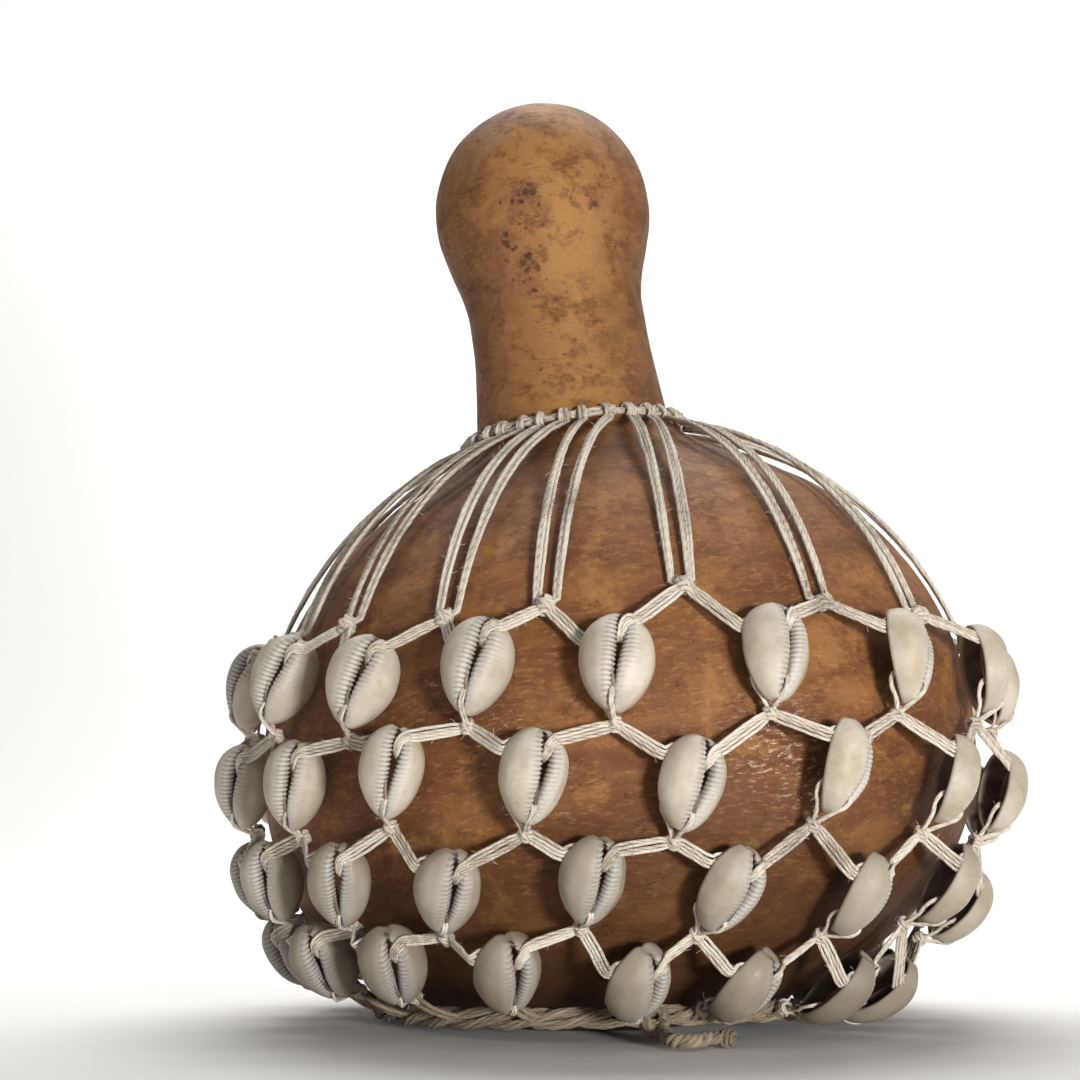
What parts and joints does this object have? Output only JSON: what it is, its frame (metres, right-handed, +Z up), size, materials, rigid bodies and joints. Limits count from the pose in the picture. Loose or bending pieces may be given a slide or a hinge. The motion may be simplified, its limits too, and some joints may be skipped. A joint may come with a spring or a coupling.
{
  "type": "shekere",
  "caption": "Shekere: a dried gourd with a bulb-topped neck in a loose knotted cotton net that carries four rows of cowrie shells.",
  "frame": {"origin": "on the flat base, under the middle of the gourd's widest ring", "axes": "+Z up out of the base, the picture is taken from -Y with +X to its right, and the neck leans 7.5 degrees towards -X"},
  "size_m": [0.1821, 0.1821, 0.2133],
  "materials": {
    "gourd": "satin",
    "cord": "matte",
    "old_cord": "matte",
    "shell": "satin"
  },
  "bodies": {
    "gourd": {"gourd": "gourd"},
    "collar": {"collar": "cord"},
    "net": {"hitches": "cord", "strands": "cord", "knots_1": "cord", "knots_2": "cord", "knots_3": "cord", "knots_4": "cord", "knots_5": "cord", "arms_1": "cord", "arms_2": "cord", "arms_3": "cord", "arms_4": "cord", "lashings_1": "cord", "lashings_2": "cord", "lashings_3": "cord", "lashings_4": "cord", "foot_links": "old_cord", "drawstring": "old_cord", "gather_knot": "old_cord"},
    "bow": {"bow": "old_cord"},
    "cowrie_row_1": {"cowries_1_1": "shell", "cowries_1_2": "shell", "cowries_1_3": "shell", "cowries_1_4": "shell", "cowries_1_5": "shell", "cowries_1_6": "shell", "cowries_1_7": "shell", "cowries_1_8": "shell", "cowries_1_9": "shell"},
    "cowrie_row_2": {"cowries_2_1": "shell", "cowries_2_2": "shell", "cowries_2_3": "shell", "cowries_2_4": "shell", "cowries_2_5": "shell", "cowries_2_6": "shell", "cowries_2_7": "shell", "cowries_2_8": "shell", "cowries_2_9": "shell"},
    "cowrie_row_3": {"cowries_3_1": "shell", "cowries_3_2": "shell", "cowries_3_3": "shell", "cowries_3_4": "shell", "cowries_3_5": "shell", "cowries_3_6": "shell", "cowries_3_7": "shell", "cowries_3_8": "shell", "cowries_3_9": "shell"},
    "cowrie_row_4": {"cowries_4_1": "shell", "cowries_4_2": "shell", "cowries_4_3": "shell", "cowries_4_4": "shell", "cowries_4_5": "shell", "cowries_4_6": "shell", "cowries_4_7": "shell", "cowries_4_8": "shell", "cowries_4_9": "shell"}
  },
  "joints": [
    {"name": "net_bounce", "type": "slide", "parent": "gourd", "child": "collar", "axis": [-0.1305, 0, 0.9914], "range_m": [0, 0.0015]},
    {"name": "net_twist", "type": "hinge", "parent": "collar", "child": "net", "pos_m": [0, 0, 0.0585], "axis": [-0.1305, 0, 0.9914], "range_deg": [-5, 30]},
    {"name": "cowrie_rattle_1", "type": "slide", "parent": "net", "child": "cowrie_row_1", "axis": [-0.1305, 0, 0.9914], "range_m": [0, 0.0006]},
    {"name": "cowrie_rattle_2", "type": "slide", "parent": "net", "child": "cowrie_row_2", "axis": [-0.1305, 0, 0.9914], "range_m": [0, 0.0006]},
    {"name": "cowrie_rattle_3", "type": "slide", "parent": "net", "child": "cowrie_row_3", "axis": [-0.1305, 0, 0.9914], "range_m": [0, 0.0006]},
    {"name": "cowrie_rattle_4", "type": "slide", "parent": "net", "child": "cowrie_row_4", "axis": [-0.1305, 0, 0.9914], "range_m": [0, 0.0006]},
    {"name": "bow_swing", "type": "hinge", "parent": "net", "child": "bow", "pos_m": [0.0088, -0.055, 0.0028], "axis": [0, 0, -1], "range_deg": [0, 40]}
  ]
}
